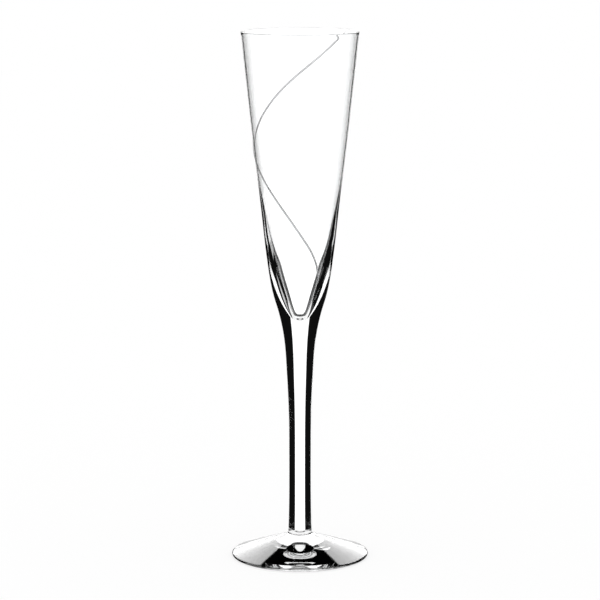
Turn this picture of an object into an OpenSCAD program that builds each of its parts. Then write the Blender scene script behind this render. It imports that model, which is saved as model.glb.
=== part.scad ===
// Champagne flute of clear glass: a deep conical bowl on a solid drawn stem and a
// solid conical foot, with one fine thread of glass laid round the bowl in a spiral.
// The origin is the centre of the foot's resting face and +Z points up. Millimetres.

/* [Bowl] */
// Height of the whole glass
glass_h = 260; // [245:1:275]
// Outer diameter of the rim
rim_d = 57.4; // [54:0.2:62]
// Wall thickness at the rim
rim_wall = 0.8; // [0.6:0.1:1.1]
// Height of the lowest point of the cavity
cavity_z = 119.4; // [118:0.2:124]
// Radius of the rounded tip of the cavity
tip_r = 3.4; // [2.8:0.1:4.4]

/* [Stem] */
// Height at which the stem is joined to the bowl
joint_z = 112; // [109:1:114]
// Diameter of the stem at its waist
waist_d = 10.7; // [9.8:0.1:11.8]
// Height of the waist
waist_z = 58; // [50:1:66]

/* [Foot] */
// Diameter of the foot
foot_d = 67.5; // [62:0.5:74]
// Thickness of the foot's rounded edge
edge_t = 1.4; // [1.2:0.1:2.2]
// Angle between the foot's upper face and the table
foot_slope = 19.2; // [17:0.2:21]
// Diameter of the neck that carries the stem
neck_d = 11.6; // [10.8:0.1:12.6]
// Radius of the fillet round the neck
neck_fillet = 0.8; // [0.5:0.1:2.5]
// Diameter of the shallow hollow under the foot
hollow_d = 56; // [40:1:58]
// Height of that hollow at its middle
hollow_h = 2.0; // [0.3:0.1:3]

/* [Spiral thread] */
// Width of the thread
thread_w = 0.9; // [0.7:0.1:1.3]
// How far the thread stands out from the bowl
thread_out = 0.35; // [0.25:0.05:0.5]
// How far the thread is sunk into the wall
thread_in = 0.25; // [0.15:0.05:0.35]

/* [Hidden] */
rim_r = rim_d / 2;
foot_r = foot_d / 2;
neck_r = neck_d / 2;
edge_r = edge_t / 2;

// The lip is a half round across the wall, and the wall's curves end at its middle.
lip_r = rim_wall / 2;
lip_z = glass_h - lip_r;
bowl_h = lip_z - joint_z;
inner_rim_r = rim_r - rim_wall;
cavity_h = lip_z - cavity_z;

// Stations of the bowl's outer curve, each as [height, radius, slope]: heights are
// fractions of bowl_h above the joint, and radii are fractions of the rim's radius.
bowl_outer = [
    [0, 0.286, 0.85],
    [0.10, 0.411, 1.68],
    [0.26, 0.571, 0.68],
    [0.50, 0.712, 0.65],
    [1, 1, 0.55]
];

// The cavity leaves its round tip at this slope, in millimetres out per millimetre up.
tip_slope = 0.45;
tip_turn = atan(tip_slope);
tip_centre = cavity_z + tip_r;
tip_end_r = tip_r * cos(tip_turn);
tip_end_z = tip_centre - tip_r * sin(tip_turn);

// Stations of the cavity's curve, as fractions of cavity_h and of its radius at the rim.
cavity_curve = [
    [(tip_end_z - cavity_z) / cavity_h, tip_end_r / inner_rim_r, tip_slope * cavity_h / inner_rim_r],
    [0.15, 0.359, 1.50],
    [0.30, 0.552, 0.88],
    [0.50, 0.725, 0.66],
    [1, 1, 0.55]
];

// The foot's upper face is tangent to its rounded edge and to the fillet at its neck.
edge_centre = [foot_r - edge_r, edge_r];
face_normal = [sin(foot_slope), cos(foot_slope)];
face_start = edge_centre + edge_r * face_normal;
fillet_centre_r = neck_r + neck_fillet;
neck_z = face_start[1]
    + (neck_fillet - face_normal[0] * (fillet_centre_r - face_start[0])) / face_normal[1];

// Stations of the stem's curve in millimetres, from the neck up to the bowl's joint.
joint_r = bowl_outer[0][1] * rim_r;
joint_slope = bowl_outer[0][2] * rim_r / bowl_h;
stem_curve = [
    [neck_z, neck_r, -0.04],
    [waist_z, waist_d / 2, 0],
    [waist_z + 0.60 * (joint_z - waist_z), waist_d / 2 + 0.36 * (joint_r - waist_d / 2), 0.06],
    [joint_z, joint_r, joint_slope]
];

// Route of the thread as [height as a fraction of bowl_h, angle round the bowl].
thread_route = [
    [0.180, 306],
    [0.235, 301],
    [0.284, 290],
    [0.339, 273],
    [0.443, 240],
    [0.612, 182],
    [0.728, 137],
    [0.817, 104],
    [0.910, 68],
    [0.996, 37]
];

steps = 12;         // points on each span between two stations
arc_steps = 8;      // points on each small round
thread_rings = 81;  // rings along the thread
thread_sides = 8;   // sides of each ring
end_taper = 0.06;   // share of the thread's length over which each end thins out
taper_size = 0.45;  // size of each end beside the full thread

// Cubic between stations p and q, which are [place, value, slope], at place x.
function span(p, q, x) =
    let (h = q[0] - p[0], t = (x - p[0]) / h)
    (2 * t ^ 3 - 3 * t ^ 2 + 1) * p[1] + (t ^ 3 - 2 * t ^ 2 + t) * h * p[2]
    + (3 * t ^ 2 - 2 * t ^ 3) * q[1] + (t ^ 3 - t ^ 2) * h * q[2];

// Value at place x of the smooth curve through all the stations.
function along(stations, x, i = 0) =
    i >= len(stations) - 2 || x <= stations[i + 1][0]
        ? span(stations[i], stations[i + 1], x)
        : along(stations, x, i + 1);

// Slope of that curve at place x.
function slope_along(stations, x, dx = 0.001) =
    (along(stations, x + dx) - along(stations, x - dx)) / (2 * dx);

// Places to sample: the stations and (steps - 1) even places between each two.
function places(stations) = [
    for (i = [0:len(stations) - 2], j = [0:steps - 1])
        stations[i][0] + (stations[i + 1][0] - stations[i][0]) * j / steps
];

// Points of an arc about c with radius r, from angle a to angle b.
function arc(c, r, a, b) = [
    for (i = [0:arc_steps]) let (t = a + (b - a) * i / arc_steps) c + r * [cos(t), sin(t)]
];

function reversed(list) = [for (i = [len(list) - 1:-1:0]) list[i]];

// Outer radius of the bowl at a fraction u of its height.
function bowl_radius(u) = rim_r * along(bowl_outer, u);

// Each point of the route with the turn per height there, from its two neighbours.
function smooth_route(route) = [
    for (i = [0:len(route) - 1])
        let (a = route[max(i - 1, 0)], b = route[min(i + 1, len(route) - 1)])
        [route[i][0], route[i][1], (b[1] - a[1]) / (b[0] - a[0])]
];

// Centre line of the thread on the bowl's outer face at a fraction u of its height.
function thread_point(route, u) =
    let (angle = along(route, u), r = bowl_radius(u))
    [r * cos(angle), r * sin(angle), joint_z + u * bowl_h];

function unit(v) = v / norm(v);

// One ring of the thread: an ellipse across its run, part sunk in the bowl's wall.
function thread_ring(route, u, size) =
    let (
        angle = along(route, u),
        du = 0.002,
        run = unit(thread_point(route, u + du) - thread_point(route, u - du)),
        lean = rim_r * slope_along(bowl_outer, u) / bowl_h,
        outward = unit([cos(angle), sin(angle), -lean]),
        across = cross(run, outward),
        half_h = size * (thread_out + thread_in) / 2,
        middle = thread_point(route, u) + outward * size * (thread_out - thread_in) / 2
    )
    [for (k = [0:thread_sides - 1])
        let (t = 360 * k / thread_sides)
        middle + across * cos(t) * size * thread_w / 2 + outward * sin(t) * half_h];

// Share of full size at a share s of the thread's length: both ends thin out.
function thread_size(s) =
    let (end = min(s, 1 - s, end_taper) / end_taper)
    taper_size + (1 - taper_size) * sin(90 * end);

// Deep conical bowl with its cavity and the solid glass below it.
module bowl() {
    lip_slope = bowl_outer[len(bowl_outer) - 1][2] * rim_r / bowl_h;
    lip_tilt = atan(lip_slope);
    outer_wall = [for (u = places(bowl_outer)) [bowl_radius(u), joint_z + u * bowl_h]];
    lip = arc([rim_r - lip_r, lip_z], lip_r, -lip_tilt, 180 - lip_tilt);
    inner_wall = [for (v = places(cavity_curve))
        [inner_rim_r * along(cavity_curve, v), cavity_z + v * cavity_h]];
    tip = arc([0, tip_centre], tip_r, -90, -tip_turn);
    color([0.93, 0.95, 0.96, 0.4])
        rotate_extrude($fn = 128)
            polygon(concat(
                [[0, joint_z]], outer_wall, lip, reversed(inner_wall),
                [for (i = [arc_steps - 1:-1:0]) tip[i]]
            ));
}

// Solid drawn stem between the foot's neck and the bowl's joint.
module stem() {
    wall = [for (z = places(stem_curve)) [along(stem_curve, z), z]];
    color([0.88, 0.91, 0.93, 0.6])
        rotate_extrude($fn = 96)
            polygon(concat([[0, neck_z]], wall, [[joint_r, joint_z], [0, joint_z]]));
}

// Solid conical foot with a round edge, a filleted neck and a shallow hollow below.
module foot() {
    hollow_r = hollow_d / 2;
    hollow_arc_r = (hollow_r ^ 2 + hollow_h ^ 2) / (2 * hollow_h);
    hollow_turn = asin(hollow_r / hollow_arc_r);
    hollow = arc([0, hollow_h - hollow_arc_r], hollow_arc_r, 90, 90 - hollow_turn);
    edge = arc(edge_centre, edge_r, -90, 90 - foot_slope);
    fillet = arc([fillet_centre_r, neck_z], neck_fillet, 270 - foot_slope, 180);
    color([0.84, 0.88, 0.91, 0.6])
        rotate_extrude($fn = 128)
            polygon(concat(hollow, edge, fillet, [[0, neck_z]]));
}

// Fine thread of glass laid round the bowl, from the rim down to its short tail.
module spiral_thread() {
    route = smooth_route(thread_route);
    low = thread_route[0][0];
    high = thread_route[len(thread_route) - 1][0];
    last = thread_rings - 1;
    points = [for (i = [0:last])
        each thread_ring(route, low + (high - low) * i / last, thread_size(i / last))];
    sides = [for (i = [0:last - 1], k = [0:thread_sides - 1])
        let (next = (k + 1) % thread_sides, a = i * thread_sides, b = a + thread_sides)
        [a + k, b + k, b + next, a + next]];
    low_end = [for (k = [0:thread_sides - 1]) k];
    high_end = [for (k = [thread_sides - 1:-1:0]) last * thread_sides + k];
    color([0.75, 0.80, 0.83, 0.9])
        polyhedron(points, concat(sides, [low_end, high_end]));
}

bowl();
stem();
foot();
spiral_thread();
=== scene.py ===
"""Champagne flute of clear glass: deep conical bowl, drawn stem, conical foot and a spiral thread.

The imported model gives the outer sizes. Each piece is a closed surface worked out as whole numpy
arrays. Where two pieces were fused hot, their meeting faces are clear, so that light crosses the
joint unbent, as it does in one body of glass.
"""

import logging  # noqa: E402
import math  # noqa: E402
from dataclasses import dataclass  # noqa: E402
from enum import Enum  # noqa: E402
from typing import Any  # noqa: E402

import bpy  # noqa: E402
import numpy as np  # noqa: E402
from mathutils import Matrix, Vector  # noqa: E402


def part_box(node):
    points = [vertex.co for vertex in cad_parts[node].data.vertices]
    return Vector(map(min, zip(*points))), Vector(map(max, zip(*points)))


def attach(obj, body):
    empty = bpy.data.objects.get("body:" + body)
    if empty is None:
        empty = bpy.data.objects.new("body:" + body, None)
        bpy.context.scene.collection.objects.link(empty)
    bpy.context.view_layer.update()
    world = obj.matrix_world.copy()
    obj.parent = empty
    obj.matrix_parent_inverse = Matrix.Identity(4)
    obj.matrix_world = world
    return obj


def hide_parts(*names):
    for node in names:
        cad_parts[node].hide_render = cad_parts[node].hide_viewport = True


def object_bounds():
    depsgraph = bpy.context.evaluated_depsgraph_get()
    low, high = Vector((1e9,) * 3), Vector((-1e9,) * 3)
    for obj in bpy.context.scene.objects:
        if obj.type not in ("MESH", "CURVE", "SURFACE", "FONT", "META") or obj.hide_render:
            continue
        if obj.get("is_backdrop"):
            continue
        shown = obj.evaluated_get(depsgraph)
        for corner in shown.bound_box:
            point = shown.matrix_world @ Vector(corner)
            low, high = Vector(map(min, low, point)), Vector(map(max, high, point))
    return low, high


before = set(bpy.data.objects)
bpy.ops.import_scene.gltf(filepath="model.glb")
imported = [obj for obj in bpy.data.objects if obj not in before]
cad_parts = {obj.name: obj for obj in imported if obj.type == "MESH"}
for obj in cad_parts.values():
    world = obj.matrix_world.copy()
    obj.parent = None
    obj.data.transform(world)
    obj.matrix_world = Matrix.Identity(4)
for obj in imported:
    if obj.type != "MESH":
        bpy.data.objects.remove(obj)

LOG = logging.getLogger("flute")
MM = 0.001
BODY = "root"
# Faces that meet more sharply than this are shaded apart.
SHARP_ANGLE = math.radians(40)
# Points whose heights differ by less than this, in metres, lie in one flat face.
SAME_HEIGHT = 1e-7
# Rows of place, value and slope, through which a smooth curve runs.
Stations = tuple[tuple[float, float, float], ...]


class Face(Enum):
    """Which material slot a face of a glass piece takes."""

    WALL = 0
    JOINT = 1


# --------------------------------------------------------------------------------------------
# Curves and surfaces
# --------------------------------------------------------------------------------------------


def smooth_curve(stations: Stations, places: np.ndarray) -> np.ndarray:
    """Values of the smooth curve through stations.

    Between two stations the curve is the cubic that has the value and slope of each at its end.

    Args:
        stations: rows of place, value and slope, with places rising.
        places: where to read the curve.

    Returns:
        One value for each place.
    """
    table = np.array(stations, float)
    row = np.clip(np.searchsorted(table[:, 0], places, side="right") - 1, 0, len(table) - 2)
    start, end = table[row], table[row + 1]
    width = end[:, 0] - start[:, 0]
    t = (places - start[:, 0]) / width
    return (
        (2 * t**3 - 3 * t**2 + 1) * start[:, 1]
        + (t**3 - 2 * t**2 + t) * width * start[:, 2]
        + (3 * t**2 - 2 * t**3) * end[:, 1]
        + (t**3 - t**2) * width * end[:, 2]
    )


def arc(centre: tuple[float, float], radius: float, start: float, end: float, count: int) -> np.ndarray:
    """Points of a round: centre plus radius times the cosine and sine of evenly spaced angles.

    Args:
        centre: the middle, as distance from the axis and height.
        radius: the round's radius.
        start: first angle in degrees, from the outward direction.
        end: last angle in degrees.
        count: number of points, both ends included.

    Returns:
        An array of count rows.
    """
    angles = np.radians(np.linspace(start, end, count))
    return np.array(centre) + radius * np.stack([np.cos(angles), np.sin(angles)], axis=1)


def spun_mesh(name: str, outline: np.ndarray, turns: int, joints: list[float]) -> bpy.types.Mesh:
    """Closed mesh of an outline spun about the Z axis.

    Point (i, j) lies at outline row i, turned j / turns of a circle. The first and last rows are
    on the axis, so each becomes one point with a fan of triangles round it.

    Args:
        name: the mesh's name.
        outline: rows of distance from the axis and height, from the lower pole to the upper.
        turns: number of faces round the axis.
        joints: heights of flat faces where the piece is fused to its neighbour.

    Returns:
        The mesh, with joint faces in the joint slot.
    """
    rings = outline[1:-1]
    angle = np.arange(turns) * 2 * np.pi / turns
    grid = np.stack(
        [
            rings[:, :1] * np.cos(angle),
            rings[:, :1] * np.sin(angle),
            np.repeat(rings[:, 1:], turns, axis=1),
        ],
        axis=2,
    )
    poles = np.array([[0, 0, outline[0, 1]], [0, 0, outline[-1, 1]]])
    points = np.concatenate([grid.reshape(-1, 3), poles])
    here = np.arange(turns)
    beside = (here + 1) % turns
    row = np.arange(len(rings) - 1)[:, None] * turns
    quads = np.stack([row + here, row + beside, row + turns + beside, row + turns + here], axis=2)
    low_pole, high_pole = len(points) - 2, len(points) - 1
    last = (len(rings) - 1) * turns
    low_fan = np.stack([np.full(turns, low_pole), beside, here], axis=1)
    high_fan = np.stack([np.full(turns, high_pole), last + here, last + beside], axis=1)
    faces = (quads.reshape(-1, 4), low_fan, high_fan)
    mesh = bpy.data.meshes.new(name)
    mesh.from_pydata(points.tolist(), [], [face for part in faces for face in part.tolist()])
    mesh.shade_smooth()
    mesh.set_sharp_from_angle(angle=SHARP_ANGLE)
    slot = np.full(len(mesh.polygons), Face.WALL.value, np.int32)
    for joint in joints:
        flat = np.abs(points[:, 2] - joint) < SAME_HEIGHT
        on_joint = np.concatenate([np.all(flat[part], axis=1) for part in faces])
        slot[on_joint] = Face.JOINT.value
    mesh.polygons.foreach_set("material_index", slot)
    return mesh


def place_piece(
    mesh: bpy.types.Mesh, node: str, finishes: list[bpy.types.Material]
) -> bpy.types.Object:
    """Puts a finished mesh in the scene in place of its CAD node.

    Args:
        mesh: the piece's mesh, already in its place.
        node: the CAD node that it stands for.
        finishes: materials in the order of the mesh's slots.

    Returns:
        The new object.
    """
    piece = bpy.data.objects.new(mesh.name, mesh)
    bpy.context.scene.collection.objects.link(piece)
    for finish in finishes:
        mesh.materials.append(finish)
    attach(piece, BODY)
    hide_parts(node)
    LOG.info("%s: %d faces, for node %s", piece.name, len(mesh.polygons), node)
    return piece


# --------------------------------------------------------------------------------------------
# Shader maths
# --------------------------------------------------------------------------------------------


@dataclass(frozen=True)
class Value:
    """A number in a node tree, on which the usual operators add Math nodes."""

    kit: "Nodes"
    socket: bpy.types.NodeSocket

    def _math(self, operation: str, *numbers: Any) -> "Value":
        """The result of one Math node."""
        return self.kit.value("ShaderNodeMath", {"operation": operation}, dict(enumerate(numbers)))

    def __add__(self, other: Any) -> "Value":
        """Sum."""
        return self._math("ADD", self, other)

    __radd__ = __add__

    def __sub__(self, other: Any) -> "Value":
        """Difference."""
        return self._math("SUBTRACT", self, other)

    def __rsub__(self, other: Any) -> "Value":
        """Difference the other way round."""
        return self._math("SUBTRACT", other, self)

    def __mul__(self, other: Any) -> "Value":
        """Product."""
        return self._math("MULTIPLY", self, other)

    __rmul__ = __mul__

    def __truediv__(self, other: Any) -> "Value":
        """Quotient."""
        return self._math("DIVIDE", self, other)

    def __or__(self, other: Any) -> "Value":
        """The larger of two numbers: the union of two masks."""
        return self._math("MAXIMUM", self, other)

    def root(self) -> "Value":
        """Square root."""
        return self._math("SQRT", self)

    def rise(self, low: float, high: float) -> "Value":
        """Smooth change from 0 to 1.

        Args:
            low: where the result leaves 0.
            high: where it reaches 1.

        Returns:
            0 below low, 1 above high, and a smooth step between.
        """
        return self.kit.value(
            "ShaderNodeMapRange",
            {"interpolation_type": "SMOOTHSTEP"},
            {"Value": self, "From Min": low, "From Max": high},
            "Result",
        )


@dataclass(frozen=True)
class Nodes:
    """A node tree and the one way that nodes are added to it."""

    tree: bpy.types.NodeTree

    def add(self, kind: str, settings: dict[str, Any], inputs: dict[Any, Any]) -> bpy.types.Node:
        """Adds one node.

        Args:
            kind: the node's type.
            settings: properties of the node, which are set first.
            inputs: values, links or Values, by the socket's name or number.

        Returns:
            The node.
        """
        node = self.tree.nodes.new(kind)
        for name, setting in settings.items():
            setattr(node, name, setting)
        for name, given in inputs.items():
            source = given.socket if isinstance(given, Value) else given
            if isinstance(source, bpy.types.NodeSocket):
                self.tree.links.new(source, node.inputs[name])
            else:
                node.inputs[name].default_value = source
        return node

    def value(self, kind: str, settings: dict[str, Any], inputs: dict[Any, Any], output: Any = 0) -> Value:
        """Adds one node and wraps one of its outputs."""
        return Value(self, self.add(kind, settings, inputs).outputs[output])


def new_material(name: str) -> tuple[bpy.types.Material, Nodes]:
    """Makes an empty node material.

    Args:
        name: the material's name.
    """
    material = bpy.data.materials.new(name)
    material.use_nodes = True
    material.node_tree.nodes.clear()
    return material, Nodes(material.node_tree)


# --------------------------------------------------------------------------------------------
# Finishes
# --------------------------------------------------------------------------------------------


@dataclass(frozen=True)
class ClearGlass:
    """Fire-polished glass with the faint ripple of hand work."""

    name: str = "clear_glass"
    tint: tuple[float, float, float, float] = (0.995, 0.998, 1.0, 1.0)
    ior: float = 1.5
    roughness: float = 0.0
    ripple_size: float = 90.0
    ripple_detail: float = 1.0
    ripple_height: float = 0.02 * MM

    def material(self) -> bpy.types.Material:
        """One glass shader, whose normal a fine noise bends a little.

        Returns:
            The finish as a material.
        """
        material, kit = new_material(self.name)
        place = kit.add("ShaderNodeTexCoord", {}, {}).outputs["Object"]
        ripple = kit.value(
            "ShaderNodeTexNoise",
            {},
            {"Vector": place, "Scale": self.ripple_size, "Detail": self.ripple_detail},
            "Fac",
        )
        bump = kit.add(
            "ShaderNodeBump", {}, {"Strength": 1.0, "Distance": self.ripple_height, "Height": ripple}
        )
        glass = kit.add(
            "ShaderNodeBsdfPrincipled",
            {},
            {
                "Base Color": self.tint,
                "Roughness": self.roughness,
                "IOR": self.ior,
                "Transmission Weight": 1.0,
                "Normal": bump.outputs["Normal"],
            },
        )
        kit.add("ShaderNodeOutputMaterial", {}, {"Surface": glass.outputs["BSDF"]})
        return material


@dataclass(frozen=True)
class ThreadGlass(ClearGlass):
    """The slightly grey glass of the thread."""

    name: str = "thread_glass"
    tint: tuple[float, float, float, float] = (0.72, 0.72, 0.73, 1.0)


@dataclass(frozen=True)
class FusedJoint:
    """The meeting face of two gathers of glass that have become one: light goes straight on."""

    name: str = "fused_joint"

    def material(self) -> bpy.types.Material:
        """One transparent shader.

        Returns:
            The finish as a material.
        """
        material, kit = new_material(self.name)
        clear = kit.add("ShaderNodeBsdfTransparent", {}, {"Color": (1.0, 1.0, 1.0, 1.0)})
        kit.add("ShaderNodeOutputMaterial", {}, {"Surface": clear.outputs["BSDF"]})
        return material


# --------------------------------------------------------------------------------------------
# Pieces
# --------------------------------------------------------------------------------------------


@dataclass
class Bowl:
    """The deep conical bowl with its cavity and the solid glass below it.

    The stations of the outer wall are shares of the height and of the rim's outer radius. Those
    of the cavity are shares of its depth and of the rim's inner radius.
    """

    low: Vector
    high: Vector
    wall: float = 0.8 * MM
    cavity_z: float = 119.4 * MM
    tip_r: float = 3.4 * MM
    tip_slope: float = 0.45
    outer: Stations = (
        (0, 0.286, 0.85),
        (0.10, 0.411, 1.68),
        (0.26, 0.571, 0.68),
        (0.50, 0.712, 0.65),
        (1, 1, 0.55),
    )
    cavity: Stations = ((0.15, 0.359, 1.50), (0.30, 0.552, 0.88), (0.50, 0.725, 0.66), (1, 1, 0.55))
    rows: int = 85
    turns: int = 400
    lip_points: int = 17
    tip_points: int = 24
    joint_points: int = 12

    @property
    def rim_r(self) -> float:
        """Outer radius of the rim."""
        return (self.high.x - self.low.x) / 2

    @property
    def joint_r(self) -> float:
        """Radius of the face that is fused to the stem."""
        return self.rim_r * self.outer[0][1]

    @property
    def height(self) -> float:
        """Height from the joint to the middle of the rounded lip."""
        return self.high.z - self.wall / 2 - self.low.z

    @property
    def joint_slope(self) -> float:
        """Radius gained for each unit of height where the bowl leaves the stem."""
        return self.outer[0][2] * self.rim_r / self.height

    def outer_radius(self, share: np.ndarray) -> np.ndarray:
        """Outer radius at a share of the bowl's height."""
        return self.rim_r * smooth_curve(self.outer, share)

    def outline(self) -> np.ndarray:
        """The bowl's section.

        From the axis it runs out across the joint, up the outer wall, over the half-round lip,
        down the cavity's wall and round the cavity's tip back to the axis.

        Returns:
            Rows of distance from the axis and height.
        """
        lip_r = self.wall / 2
        lip_z = self.high.z - lip_r
        inner_r = self.rim_r - self.wall
        depth = lip_z - self.cavity_z
        up = np.linspace(0, 1, self.rows)[:-1]
        outer_wall = np.stack([self.outer_radius(up), self.low.z + up * self.height], axis=1)
        tilt = math.degrees(math.atan(self.outer[-1][2] * self.rim_r / self.height))
        lip = arc((self.rim_r - lip_r, lip_z), lip_r, -tilt, 180 - tilt, self.lip_points)
        turn = math.atan(self.tip_slope)
        tip_centre = self.cavity_z + self.tip_r
        tip_end = (self.tip_r * math.cos(turn), tip_centre - self.tip_r * math.sin(turn))
        tip_share = (tip_end[1] - self.cavity_z) / depth
        first = (tip_share, tip_end[0] / inner_r, self.tip_slope * depth / inner_r)
        down = np.linspace(1, tip_share, self.rows)[1:-1]
        cavity_r = inner_r * smooth_curve((first, *self.cavity), down)
        cavity_wall = np.stack([cavity_r, self.cavity_z + down * depth], axis=1)
        tip = arc((0, tip_centre), self.tip_r, -math.degrees(turn), -90, self.tip_points)
        tip[-1, 0] = 0
        across = np.linspace(0, self.joint_r, self.joint_points)[:-1]
        joint = np.stack([across, np.full(len(across), self.low.z)], axis=1)
        return np.concatenate([joint, outer_wall, lip, cavity_wall, tip])

    def build(self, finishes: list[bpy.types.Material]) -> bpy.types.Object:
        """Builds and dresses the bowl."""
        mesh = spun_mesh("flute_bowl", self.outline(), self.turns, [self.low.z])
        return place_piece(mesh, "bowl", finishes)


@dataclass
class Stem:
    """The solid drawn stem between the foot's neck and the bowl's joint.

    Above the waist it swells through one middle station, given as a share of the height and of
    the gain in radius from the waist to the upper joint.
    """

    low: Vector
    high: Vector
    neck_r: float
    joint_slope: float
    waist_r: float = 5.35 * MM
    waist_z: float = 58 * MM
    neck_slope: float = -0.04
    middle_height: float = 0.60
    middle_gain: float = 0.36
    middle_slope: float = 0.06
    rows: int = 120
    turns: int = 160
    joint_points: int = 10

    @property
    def joint_r(self) -> float:
        """Radius of the face that is fused to the bowl."""
        return (self.high.x - self.low.x) / 2

    def outline(self) -> np.ndarray:
        """The stem's section: across the lower joint, up the wall and back across the upper joint.

        Returns:
            Rows of distance from the axis and height.
        """
        middle_z = self.waist_z + self.middle_height * (self.high.z - self.waist_z)
        middle_r = self.waist_r + self.middle_gain * (self.joint_r - self.waist_r)
        stations = (
            (self.low.z, self.neck_r, self.neck_slope),
            (self.waist_z, self.waist_r, 0),
            (middle_z, middle_r, self.middle_slope),
            (self.high.z, self.joint_r, self.joint_slope),
        )
        up = np.linspace(self.low.z, self.high.z, self.rows)
        wall = np.stack([smooth_curve(stations, up), up], axis=1)
        inner = np.linspace(0, 1, self.joint_points)[:-1, None]
        low_joint = inner * [[self.neck_r, 0]] + [[0, self.low.z]]
        high_joint = inner[::-1] * [[self.joint_r, 0]] + [[0, self.high.z]]
        return np.concatenate([low_joint, wall, high_joint])

    def build(self, finishes: list[bpy.types.Material]) -> bpy.types.Object:
        """Builds and dresses the stem."""
        mesh = spun_mesh("flute_stem", self.outline(), self.turns, [self.low.z, self.high.z])
        return place_piece(mesh, "stem", finishes)


@dataclass
class Foot:
    """The solid conical foot, with a round edge, a filleted neck and a hollow below.

    The slope is the fall of the upper face in degrees. The hollow is a low cap of a sphere.
    """

    low: Vector
    high: Vector
    neck_r: float = 5.8 * MM
    edge_r: float = 0.7 * MM
    slope: float = 19.2
    fillet: float = 0.8 * MM
    hollow_r: float = 28 * MM
    hollow_h: float = 2.0 * MM
    rows: int = 60
    turns: int = 360
    hollow_points: int = 60
    ring_points: int = 14
    edge_points: int = 21
    fillet_points: int = 17
    joint_points: int = 10

    @property
    def radius(self) -> float:
        """Outer radius of the foot."""
        return (self.high.x - self.low.x) / 2

    def outline(self) -> np.ndarray:
        """The foot's section.

        From the axis it runs down the hollow, over the resting ring, round the edge, up the
        straight face and the fillet to the neck, and back across the joint to the axis.

        Returns:
            Rows of distance from the axis and height.
        """
        bend_r = (self.hollow_r**2 + self.hollow_h**2) / (2 * self.hollow_h)
        bend = math.degrees(math.asin(self.hollow_r / bend_r))
        hollow = arc((0, self.hollow_h - bend_r), bend_r, 90, 90 - bend, self.hollow_points)
        hollow[0, 0] = 0
        rest = np.linspace(self.hollow_r, self.radius - self.edge_r, self.ring_points)[1:-1]
        ring = np.stack([rest, np.zeros(len(rest))], axis=1)
        edge_centre = (self.radius - self.edge_r, self.edge_r)
        edge = arc(edge_centre, self.edge_r, -90, 90 - self.slope, self.edge_points)
        fillet_centre = (self.neck_r + self.fillet, self.high.z)
        fillet = arc(fillet_centre, self.fillet, 270 - self.slope, 180, self.fillet_points)
        share = np.linspace(0, 1, self.rows)[1:-1, None]
        face = edge[-1] * (1 - share) + fillet[0] * share
        inner = np.linspace(1, 0, self.joint_points)[1:, None]
        joint = inner * [[self.neck_r, 0]] + [[0, self.high.z]]
        return np.concatenate([hollow, ring, edge, face, fillet, joint])

    def build(self, finishes: list[bpy.types.Material]) -> bpy.types.Object:
        """Builds and dresses the foot."""
        mesh = spun_mesh("flute_foot", self.outline(), self.turns, [self.high.z])
        return place_piece(mesh, "foot", finishes)


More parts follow.
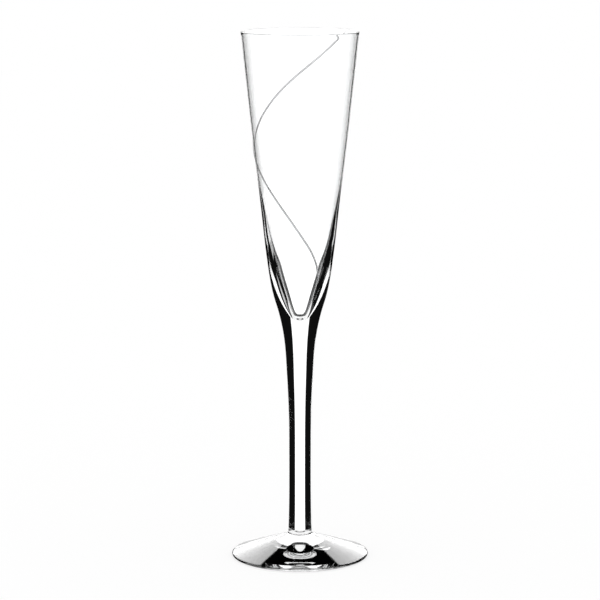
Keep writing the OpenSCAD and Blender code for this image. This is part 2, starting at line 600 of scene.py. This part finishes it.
@dataclass
class SpiralThread:
    """The fine thread of glass that is laid round the bowl, from near its base up to the rim.

    The route's rows are a share of the bowl's height and an angle round it in degrees. The
    section is an ellipse that stands out of the wall by one amount and is sunk in it by another.
    """

    bowl: Bowl
    width: float = 0.9 * MM
    out: float = 0.35 * MM
    sunk: float = 0.25 * MM
    route: tuple[tuple[float, float], ...] = (
        (0.180, 306),
        (0.235, 301),
        (0.284, 290),
        (0.339, 273),
        (0.443, 240),
        (0.612, 182),
        (0.728, 137),
        (0.817, 104),
        (0.910, 68),
        (0.996, 37),
    )
    rings: int = 320
    sides: int = 16
    end_share: float = 0.06
    end_size: float = 0.45

    def centre_line(self, share: np.ndarray) -> np.ndarray:
        """Points on the bowl's outer face, at shares of its height.

        The angle round the bowl follows the smooth curve through the route, whose slope at each
        point is that of the chord between its two neighbours.

        Args:
            share: shares of the bowl's height.

        Returns:
            One row of X, Y and Z for each share.
        """
        table = np.array(self.route, float)
        before = table[[0, *range(len(table) - 1)]]
        after = table[[*range(1, len(table)), -1]]
        slopes = (after[:, 1] - before[:, 1]) / (after[:, 0] - before[:, 0])
        stations = tuple(map(tuple, np.column_stack([table, slopes])))
        angle = np.radians(smooth_curve(stations, share))
        radius = self.bowl.outer_radius(share)
        height = self.bowl.low.z + share * self.bowl.height
        return np.stack([radius * np.cos(angle), radius * np.sin(angle), height], axis=1)

    def surface(self) -> np.ndarray:
        """The thread's surface as a grid.

        Point (i, k) is the centre line's point i, moved along the outward direction to the
        middle of the section, plus point k of an ellipse whose axes lie across the run and
        outwards from the bowl. Both ends thin out.

        Returns:
            Points by ring, by side and by X, Y and Z.
        """
        share = np.linspace(self.route[0][0], self.route[-1][0], self.rings)
        line = self.centre_line(share)
        run = np.gradient(line, axis=0)
        run /= np.linalg.norm(run, axis=1, keepdims=True)
        lean = np.gradient(self.bowl.outer_radius(share), share * self.bowl.height)
        distance = np.hypot(line[:, 0], line[:, 1])
        outward = np.stack([line[:, 0] / distance, line[:, 1] / distance, -lean], axis=1)
        outward /= np.linalg.norm(outward, axis=1, keepdims=True)
        across = np.cross(run, outward)
        way = np.linspace(0, 1, self.rings)
        near_end = np.minimum(np.minimum(way, 1 - way), self.end_share) / self.end_share
        size = self.end_size + (1 - self.end_size) * np.sin(near_end * np.pi / 2)
        turn = np.arange(self.sides) * 2 * np.pi / self.sides
        middle = line + outward * (size * (self.out - self.sunk) / 2)[:, None]
        half_width = (size * self.width / 2)[:, None, None]
        half_depth = (size * (self.out + self.sunk) / 2)[:, None, None]
        return (
            middle[:, None]
            + across[:, None] * half_width * np.cos(turn)[:, None]
            + outward[:, None] * half_depth * np.sin(turn)[:, None]
        )

    def build(self, finishes: list[bpy.types.Material]) -> bpy.types.Object:
        """Builds the thread's closed mesh, with a flat cap at each end, and dresses it.

        Args:
            finishes: the materials of its slots.

        Returns:
            The thread's object.
        """
        here = np.arange(self.sides)
        beside = (here + 1) % self.sides
        row = np.arange(self.rings - 1)[:, None] * self.sides
        above = row + self.sides
        quads = np.stack([row + here, above + here, above + beside, row + beside], axis=2)
        last = (self.rings - 1) * self.sides
        caps = [here.tolist(), (last + here[::-1]).tolist()]
        mesh = bpy.data.meshes.new("flute_spiral_thread")
        points = self.surface().reshape(-1, 3)
        mesh.from_pydata(points.tolist(), [], quads.reshape(-1, 4).tolist() + caps)
        mesh.shade_smooth()
        return place_piece(mesh, "spiral_thread", finishes)


# --------------------------------------------------------------------------------------------
# Studio
# --------------------------------------------------------------------------------------------


@dataclass(frozen=True)
class Panel:
    """A panel of light far off, by the sector of directions that it fills, in degrees.

    The azimuth of its middle is turned from +X towards +Y, and low and high are elevations. A half
    width over 180 goes all round, and an elevation past 90 takes in the pole.
    """

    azimuth: float
    half_width: float
    low: float
    high: float
    light: float = 1.0

    def mask(self, x: Value, y: Value, z: Value, soft: float) -> Value:
        """Mask of the panel in a direction.

        Args:
            x: the direction's part along X.
            y: the direction's part along Y.
            z: the direction's part along Z, the sine of its elevation.
            soft: width of the panel's soft border in degrees.

        Returns:
            1 inside the panel's sector and 0 outside it.
        """
        half = soft / 2
        inside: Any = 1.0
        if self.low > -90:
            inside = inside * z.rise(*sines(self.low - half, self.low + half))
        if self.high < 90:
            inside = inside * (1 - z.rise(*sines(self.high - half, self.high + half)))
        if self.half_width < 180:
            turn = math.radians(self.azimuth)
            toward = (x * math.cos(turn) + y * math.sin(turn)) / (x * x + y * y).root()
            inside = inside * toward.rise(*sines(90 - self.half_width - half, 90 - self.half_width + half))
        return inside


def sines(low: float, high: float) -> tuple[float, float]:
    """Sines of two angles.

    Args:
        low: the first angle in degrees.
        high: the second angle in degrees.

    Returns:
        Both sines.
    """
    return math.sin(math.radians(low)), math.sin(math.radians(high))


CEILING = Panel(0, 181, 60, 91)
TABLE = Panel(0, 181, -91, -37)


@dataclass
class Studio:
    """Plain white studio: panels of light round the glass, a white ceiling and a white table.

    Between them it is dark but for a trace, which draws the edges of clear glass. Eyes and matt
    surfaces see white all round. The camera's distance and heights are shares of the object's
    height, and so it keeps its view of a taller or shorter glass.
    """

    height: float
    # Mirrored in the glass: the bright panel behind it and its dimmer foot, then the sides.
    mirrored: tuple[Panel, ...] = (
        Panel(90, 26, 9, 43.4, 5.0),
        Panel(90, 9, -17, 9.5, 1.2),
        Panel(135, 18, 9, 60, 2.5),
        Panel(180, 20, 5, 43, 2.5),
        Panel(315, 26, 9, 60, 2.5),
        CEILING,
        TABLE,
    )
    # Seen through the glass: the panel behind it, then the sides.
    clear: tuple[Panel, ...] = (
        Panel(90, 19, -22.3, 17.5, 1.45),
        CEILING,
        TABLE,
        Panel(180, 20, -9.5, 4, 1.8),
        Panel(315, 20, -31, -5, 1.8),
        Panel(137, 11, -25, -18.5, 1.1),
        Panel(136, 9, -30.5, -25, 0.6),
    )
    soft: float = 1.6
    dark: float = 0.005
    floor_size: float = 3.0
    floor_gap: float = 0.2 * MM
    floor_sides: int = 96
    floor_glow: float = 0.7
    camera_distance: float = 4.816
    camera_height: float = 1.3102
    aim_height: float = 0.49385
    lens: float = 155.2

    def build(self) -> None:
        """Builds the camera, the surrounding light and the floor."""
        self._camera()
        self._world()
        self._floor()

    def _camera(self) -> None:
        """Long lens, a little above the rim, aimed just under half of the height."""
        data = bpy.data.cameras.new("studio_camera")
        data.lens = self.lens
        camera = bpy.data.objects.new("studio_camera", data)
        bpy.context.scene.collection.objects.link(camera)
        camera.location = (0, -self.camera_distance * self.height, self.camera_height * self.height)
        aim = Vector((0, 0, self.aim_height * self.height)) - camera.location
        camera.rotation_mode = "QUATERNION"
        camera.rotation_quaternion = aim.to_track_quat("-Z", "Y")
        bpy.context.scene.camera = camera

    def _world(self) -> None:
        """White for the eye and for matt surfaces; the panels and the dark between them for glass.

        Reflections see the mirrored panels, and light that has come through the glass sees the
        clear ones. Where panels overlap, the brighter one counts.
        """
        world = bpy.data.worlds.new("studio_light")
        bpy.context.scene.world = world
        world.use_nodes = True
        world.node_tree.nodes.clear()
        kit = Nodes(world.node_tree)
        way = kit.add("ShaderNodeTexCoord", {}, {}).outputs["Generated"]
        split = kit.add("ShaderNodeSeparateXYZ", {}, {"Vector": way})
        x, y, z = (Value(kit, split.outputs[axis]) for axis in "XYZ")
        path = kit.add("ShaderNodeLightPath", {}, {})
        glossy = Value(kit, path.outputs["Is Glossy Ray"])
        through = Value(kit, path.outputs["Is Transmission Ray"])
        seen: Any = self.dark
        for panel in self.clear:
            seen = panel.mask(x, y, z, self.soft) * panel.light | seen
        mirrored: Any = self.dark
        for panel in self.mirrored:
            mirrored = panel.mask(x, y, z, self.soft) * panel.light | mirrored
        strength = seen * through + mirrored * glossy * (1 - through) + (1 - (glossy | through))
        light = kit.add("ShaderNodeBackground", {}, {"Color": (1, 1, 1, 1), "Strength": strength})
        kit.add("ShaderNodeOutputWorld", {}, {"Surface": light.outputs["Background"]})

    def _floor(self) -> None:
        """Pale round floor just under the foot's resting ring."""
        turn = np.arange(self.floor_sides) * 2 * np.pi / self.floor_sides
        rim = np.stack([np.cos(turn), np.sin(turn), np.zeros(self.floor_sides)], axis=1) * self.floor_size
        rim[:, 2] = -self.floor_gap
        mesh = bpy.data.meshes.new("studio_floor")
        mesh.from_pydata(rim.tolist(), [], [list(range(self.floor_sides))])
        floor = bpy.data.objects.new("studio_floor", mesh)
        bpy.context.scene.collection.objects.link(floor)
        floor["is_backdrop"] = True
        floor.visible_transmission = False
        floor.visible_glossy = False
        material, kit = new_material("pale_floor")
        matt = kit.add("ShaderNodeBsdfDiffuse", {}, {"Color": (1, 1, 1, 1)})
        glow = kit.add("ShaderNodeEmission", {}, {"Color": (1, 1, 1, 1), "Strength": 1.0})
        mixed = kit.add(
            "ShaderNodeMixShader",
            {},
            {0: self.floor_glow, 1: matt.outputs["BSDF"], 2: glow.outputs["Emission"]},
        )
        kit.add("ShaderNodeOutputMaterial", {}, {"Surface": mixed.outputs["Shader"]})
        mesh.materials.append(material)


def set_up_scene() -> None:
    """Plain colour handling, and enough bounces for light inside solid glass."""
    scene = bpy.context.scene
    scene.view_settings.view_transform = "Standard"
    scene.cycles.max_bounces = 5
    scene.cycles.transmission_bounces = 5
    scene.cycles.glossy_bounces = 5
    scene.cycles.transparent_max_bounces = 32
    scene.cycles.caustics_reflective = False
    scene.cycles.caustics_refractive = False


def main() -> None:
    """Builds the flute piece by piece, then its studio."""
    logging.basicConfig(level=logging.INFO, format="%(name)s: %(message)s")
    cad_box = [list(corner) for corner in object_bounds()]
    set_up_scene()
    glass = ClearGlass().material()
    joint = FusedJoint().material()
    bowl = Bowl(*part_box("bowl"))
    foot = Foot(*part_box("foot"))
    bowl.build([glass, joint])
    Stem(*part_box("stem"), foot.neck_r, bowl.joint_slope).build([glass, joint])
    foot.build([glass, joint])
    SpiralThread(bowl).build([ThreadGlass().material()])
    Studio(cad_box[1][2] - cad_box[0][2]).build()


if __name__ == "__main__":
    main()
